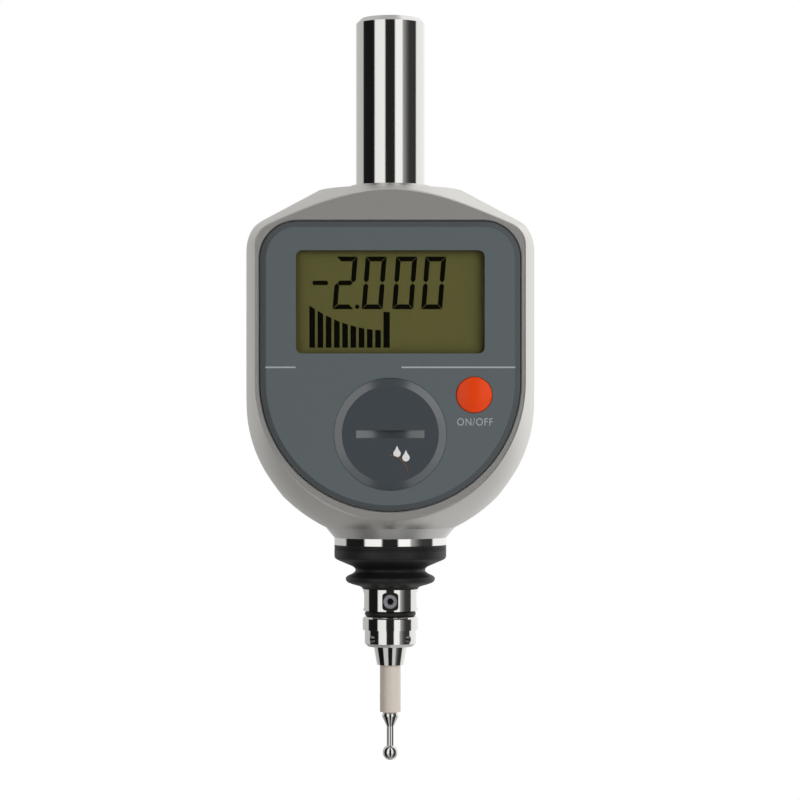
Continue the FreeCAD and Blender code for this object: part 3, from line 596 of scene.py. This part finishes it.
columns = []
for k in range(BARS):
    left = BAR_LEFT + k * BAR_STEP
    right = left + BAR_WIDE
    columns.append(column(left, right, bar_top(left), bar_top(right)))
last, pointer_top = BAR_LEFT + BARS * BAR_STEP, BAR_FOOT + POINTER_HIGH
columns.append(column(last, last + POINTER_WIDE, pointer_top, pointer_top))
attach(plates("display_bars", columns, LCD_FRONT, LCD_DEEP, segment_dark), "housing_body")


# ---------------------------------------------------------------- printing on the front plate and cover

PRINT_DEEP = 0.02
PANEL_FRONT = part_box("front_panel")[0].y / MM - PRINT_DEEP
COVER_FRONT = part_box("battery_cover")[0].y / MM - PRINT_DEEP
RULE_Z, RULE_HALF = -53.75, 0.22
RULE_SPANS = ((-35.6, -27.0), (3.2, 35.6))
LABEL_AT, LABEL_W, LABEL_H = (24.1, -69.3), 10.1, 2.1
below, above = RULE_Z - RULE_HALF, RULE_Z + RULE_HALF
rules = [[(a, below), (b, below), (b, above), (a, above)] for a, b in RULE_SPANS]
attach(plates("printed_rules", rules, PANEL_FRONT, PRINT_DEEP, print_grey), "housing_body")
label = lettering(
    "switch_lettering", "ON/OFF", LABEL_AT, LABEL_W, LABEL_H, PANEL_FRONT, PRINT_DEEP, print_grey
)
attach(label, "housing_body")


def drop(x, z, r):
    """The outline of a falling drop with its bowl centred on (x, z)."""
    tip, start = 2.15 * r, math.radians(35)
    bowl = [start - k * (math.pi + 2 * start) / 20 for k in range(21)]
    ring = [(x + r * math.cos(a), z + r * math.sin(a)) for a in bowl]
    return [(x, z + tip), (x + 0.42 * r, z + 1.15 * r)] + ring + [(x - 0.42 * r, z + 1.15 * r)]


def arc(x, z, r, turns):
    return [(x + r * math.cos(a), z + r * math.sin(a)) for a in turns]


DROPS_AT, DROP_R = ((1.9, -78.3), (4.45, -79.5)), 1.05
drops = [drop(x, z, DROP_R) for x, z in DROPS_AT]
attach(plates("splash_drops", drops, COVER_FRONT, PRINT_DEEP, print_white), "cover")
RIPPLE_X, RIPPLE_Z, RIPPLE_IN, RIPPLE_OUT = -0.2, -84.0, 5.0, 5.2
sweep = [math.radians(88 - k * 4) for k in range(21)]
ripple = arc(RIPPLE_X, RIPPLE_Z, RIPPLE_OUT, sweep)
ripple += arc(RIPPLE_X, RIPPLE_Z, RIPPLE_IN, reversed(sweep))
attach(plates("splash_ripple", [ripple], COVER_FRONT, PRINT_DEEP, print_amber), "cover")


# ---------------------------------------------------------------- rubber bellows, in three pieces

# Each line is of (radius, height) in mm. The pieces meet at the waist, FOLD, and at the crest.
FOLD, CREST, LIP = -112.5, -115.05, -118.0
RIM, RIB_TOP, RIB_STEP, RIBS = 16.4, -105.55, 0.5, 3
ribs = []
for k in range(RIBS):
    z = RIB_TOP - RIB_STEP * k
    ribs += [(RIM, z), (RIM, z - 0.16), (RIM - 0.16, z - 0.25), (RIM, z - 0.34)]
upper = lathe(
    "bellows_collar",
    [(14.95, -105.12), (16.2, -105.12), (16.38, -105.3)]
    + ribs
    + [(RIM, -108.2), (16.3, -108.8), (15.9, -109.3), (14.9, -109.8), (12.8, -110.7), (11.0, -111.5)]
    + [(10.35, -112.1), (10.25, FOLD + 0.12), (10.25, FOLD)],
    [(9.15, FOLD), (9.15, FOLD + 0.12), (9.4, -111.3), (10.6, -110.4), (12.5, -109.5), (14.2, -108.6)]
    + [(14.95, -107.9), (14.95, -106.0), (14.95, -105.12)],
    finishes["seal_rubber"],
)
middle = lathe(
    "bellows_fold",
    [(10.25, FOLD), (10.25, FOLD - 0.12), (10.5, -113.1), (11.3, -113.65), (12.3, -114.1),
     (12.95, -114.6)]
    + [(13.08, CREST + 0.12), (13.08, CREST)],
    [(11.9, CREST), (11.9, CREST + 0.12), (11.3, -114.5), (10.2, -114.0), (9.4, -113.4)]
    + [(9.15, FOLD - 0.12), (9.15, FOLD)],
    finishes["seal_rubber"],
)
lower = lathe(
    "bellows_lip",
    [(13.08, CREST), (13.08, CREST - 0.12), (12.9, -115.7), (12.3, -116.2), (11.0, -116.7),
     (9.4, -117.15)]
    + [(8.5, -117.5), (8.25, -117.8), (8.2, LIP)],
    [(7.2, LIP), (7.3, -117.3), (8.4, -116.5), (10.2, -116.0), (11.5, -115.6)]
    + [(11.9, CREST - 0.12), (11.9, CREST)],
    finishes["seal_rubber"],
)
for piece, a, b, start, end in (
    (upper, "housing_body", "carriage", -109.2, FOLD + 0.1),
    (middle, "carriage", "gimbal", FOLD - 0.1, CREST + 0.1),
    (lower, "gimbal", "probe", CREST - 0.1, -117.6),
):
    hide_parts("bellows")
    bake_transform(piece)


# ---------------------------------------------------------------- stage, light and camera


WHITE = (1, 1, 1, 1)
FLOOR_LEVEL, FLOOR_RADIUS = -0.23, 0.33
FADE_START, FADE_END = 0.26, 0.38
AIM = Vector((0, 0, -0.07))


def paint_world():
    """A white studio with black flags between its soft strips, told apart by compass direction."""
    world = bpy.data.worlds.new("studio")
    world.use_nodes = True
    tree = world.node_tree
    tree.nodes.clear()
    way = add(tree, "SeparateXYZ", {0: add(tree, "TexCoord").outputs["Generated"]})
    back = add(tree, "Math", {0: way.outputs[1], 1: -1.0}, operation="MULTIPLY")
    turn = add(tree, "Math", {0: way.outputs[0], 1: back.outputs[0]}, operation="ARCTAN2")
    share = add(
        tree,
        "MapRange",
        {"Value": turn.outputs[0], "From Min": -math.pi, "From Max": math.pi},
    )
    ramp = add(tree, "ValToRGB", {"Fac": share.outputs["Result"]})
    # compass degrees from the display's side, towards +X, and the light that comes from there
    stops = ramp.color_ramp.elements
    stops.remove(stops[0])
    stops[0].position = 0.0
    stops[0].color = (0.62, 0.62, 0.61, 1)
    for degrees, level in (
        (-165, 0.6),
        (-106, 0.57),
        (-101, 0.012),
        (-56, 0.01),
        (-52, 1.0),
        (-19, 1.04),
        (-15.5, 0.02),
        (14.5, 0.02),
        (17.5, 1.1),
        (40, 1.1),
        (44, 0.38),
        (60, 0.1),
        (68, 0.045),
        (95, 0.04),
        (100, 1.0),
        (160, 1.03),
        (179.9, 0.62),
    ):
        stop = stops.new((degrees + 180) / 360)
        stop.color = (level, level, level * 0.99, 1)
    over = add(
        tree,
        "MapRange",
        {"Value": way.outputs[2], "From Min": 0.9, "From Max": 0.99},
        interpolation_type="SMOOTHSTEP",
    )
    lit = add(
        tree,
        "MixRGB",
        {"Fac": over.outputs["Result"], "Color1": ramp.outputs[0], "Color2": (0.5, 0.5, 0.5, 1)},
    )
    below = add(
        tree,
        "MapRange",
        {
            "Value": way.outputs[2],
            "From Min": -0.15,
            "From Max": -0.5,
            "To Min": 1.0,
            "To Max": 0.55,
        },
        interpolation_type="SMOOTHSTEP",
    )
    lit = add(
        tree,
        "MixRGB",
        {"Fac": 1.0, "Color1": lit.outputs[0], "Color2": below.outputs["Result"]},
        blend_type="MULTIPLY",
    )
    path = add(tree, "LightPath")
    plain = add(
        tree,
        "Math",
        {0: path.outputs["Is Camera Ray"], 1: path.outputs["Is Transmission Ray"]},
        operation="MAXIMUM",
    )
    studio = add(tree, "Background", {"Color": lit.outputs[0], "Strength": 1.0})
    white = add(tree, "Background", {"Color": WHITE, "Strength": 1.0})
    both = add(
        tree, "MixShader", {0: plain.outputs[0], 1: studio.outputs[0], 2: white.outputs[0]}
    )
    add(tree, "OutputWorld", {"Surface": both.outputs[0]})
    scene.world = world


paint_world()


def soft_lamp(name, at, size, watts):
    """A square softbox aimed at the middle of the object, kept out of mirror reflections."""
    lamp = bpy.data.lights.new(name, "AREA")
    lamp.size, lamp.energy = size, watts
    holder = bpy.data.objects.new(name, lamp)
    holder.location = at
    holder.rotation_euler = (AIM - Vector(at)).to_track_quat("-Z", "Y").to_euler()
    holder.visible_glossy = False
    scene.collection.objects.link(holder)


soft_lamp("key_softbox", (0.8, -0.75, 0.2), 0.6, 6.5)


def studio_board(name):
    """A white board that keeps the shadow and runs out into the white background."""
    material, tree = new_tree(name)
    board = add(tree, "BsdfPrincipled", {"Base Color": srgb("F2F2F1"), "Roughness": 0.8})
    place = add(tree, "TexCoord").outputs["Object"]
    away = add(tree, "VectorMath", {0: place}, operation="LENGTH")
    fade = add(
        tree,
        "MapRange",
        {"Value": away.outputs["Value"], "From Min": FADE_START, "From Max": FADE_END},
        interpolation_type="SMOOTHSTEP",
    )
    seen = add(tree, "LightPath").outputs["Is Camera Ray"]
    share = add(tree, "Math", {0: fade.outputs["Result"], 1: seen}, operation="MULTIPLY")
    white = add(tree, "Emission", {"Color": WHITE, "Strength": 1.0})
    mixed = {0: share.outputs[0], 1: board.outputs[0], 2: white.outputs[0]}
    close(tree, add(tree, "MixShader", mixed))
    return material


def disc(bm):
    level = Matrix.Translation((0, 0, FLOOR_LEVEL))
    bmesh.ops.create_circle(bm, cap_ends=True, segments=96, radius=FLOOR_RADIUS, matrix=level)


floor = new_piece("floor", disc, studio_board("white_studio_board"))
floor.visible_glossy = False

lens = bpy.data.cameras.new("camera")
lens.sensor_width, lens.lens = 36.0, 125.8
lens.shift_x, lens.shift_y = 0.0121, 0.0533
lens.clip_start, lens.clip_end = 0.01, 20.0
camera = bpy.data.objects.new("camera", lens)
camera.location = (0, -0.82, -0.0752)
camera.rotation_euler = (math.pi / 2, 0, 0)
scene.collection.objects.link(camera)
scene.camera = camera
scene.view_settings.view_transform = "Standard"
